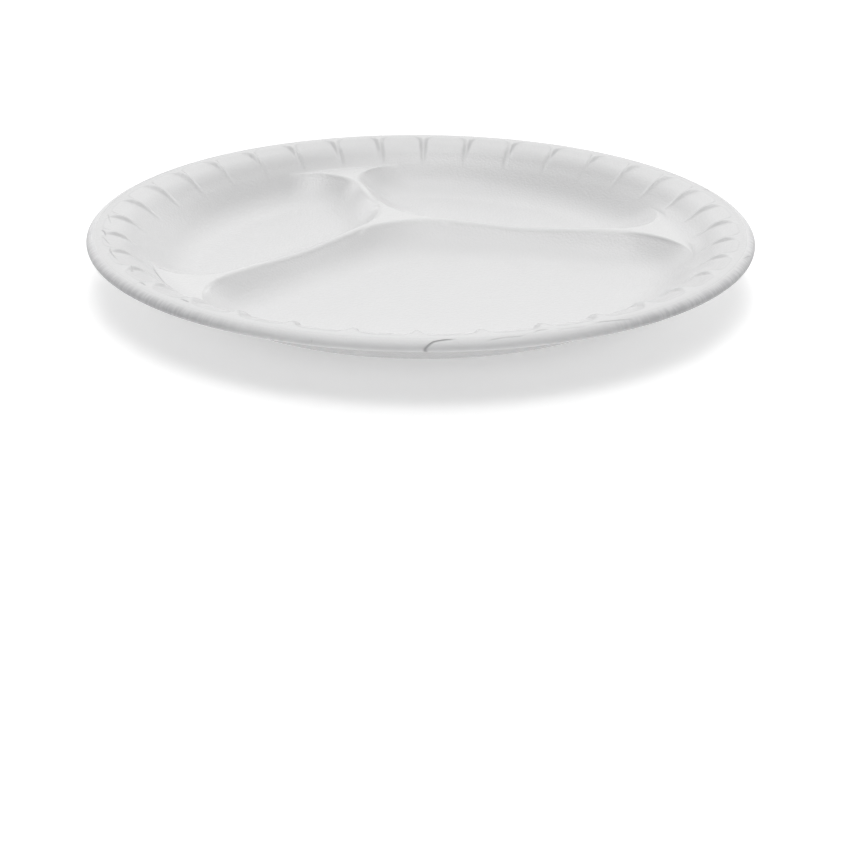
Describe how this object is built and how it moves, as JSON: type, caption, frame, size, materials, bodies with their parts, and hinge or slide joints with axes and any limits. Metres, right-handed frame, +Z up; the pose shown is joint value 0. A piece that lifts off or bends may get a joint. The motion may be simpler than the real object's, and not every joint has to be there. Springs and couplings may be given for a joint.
{
  "type": "foam compartment plate",
  "caption": "Round disposable foam plate with a fluted rim and Y-shaped dividers that form one large and two small compartments.",
  "frame": {"origin": "centre of the plate, on the table it rests on", "axes": "+Z up; +Y from the centre along the back divider, which parts the two small compartments; the large compartment lies toward -Y"},
  "size_m": [0.225, 0.225, 0.0193],
  "materials": {
    "foam": "satin white pressed foam with a fine grain"
  },
  "bodies": {
    "root": {"plate": "foam"}
  },
  "joints": []
}
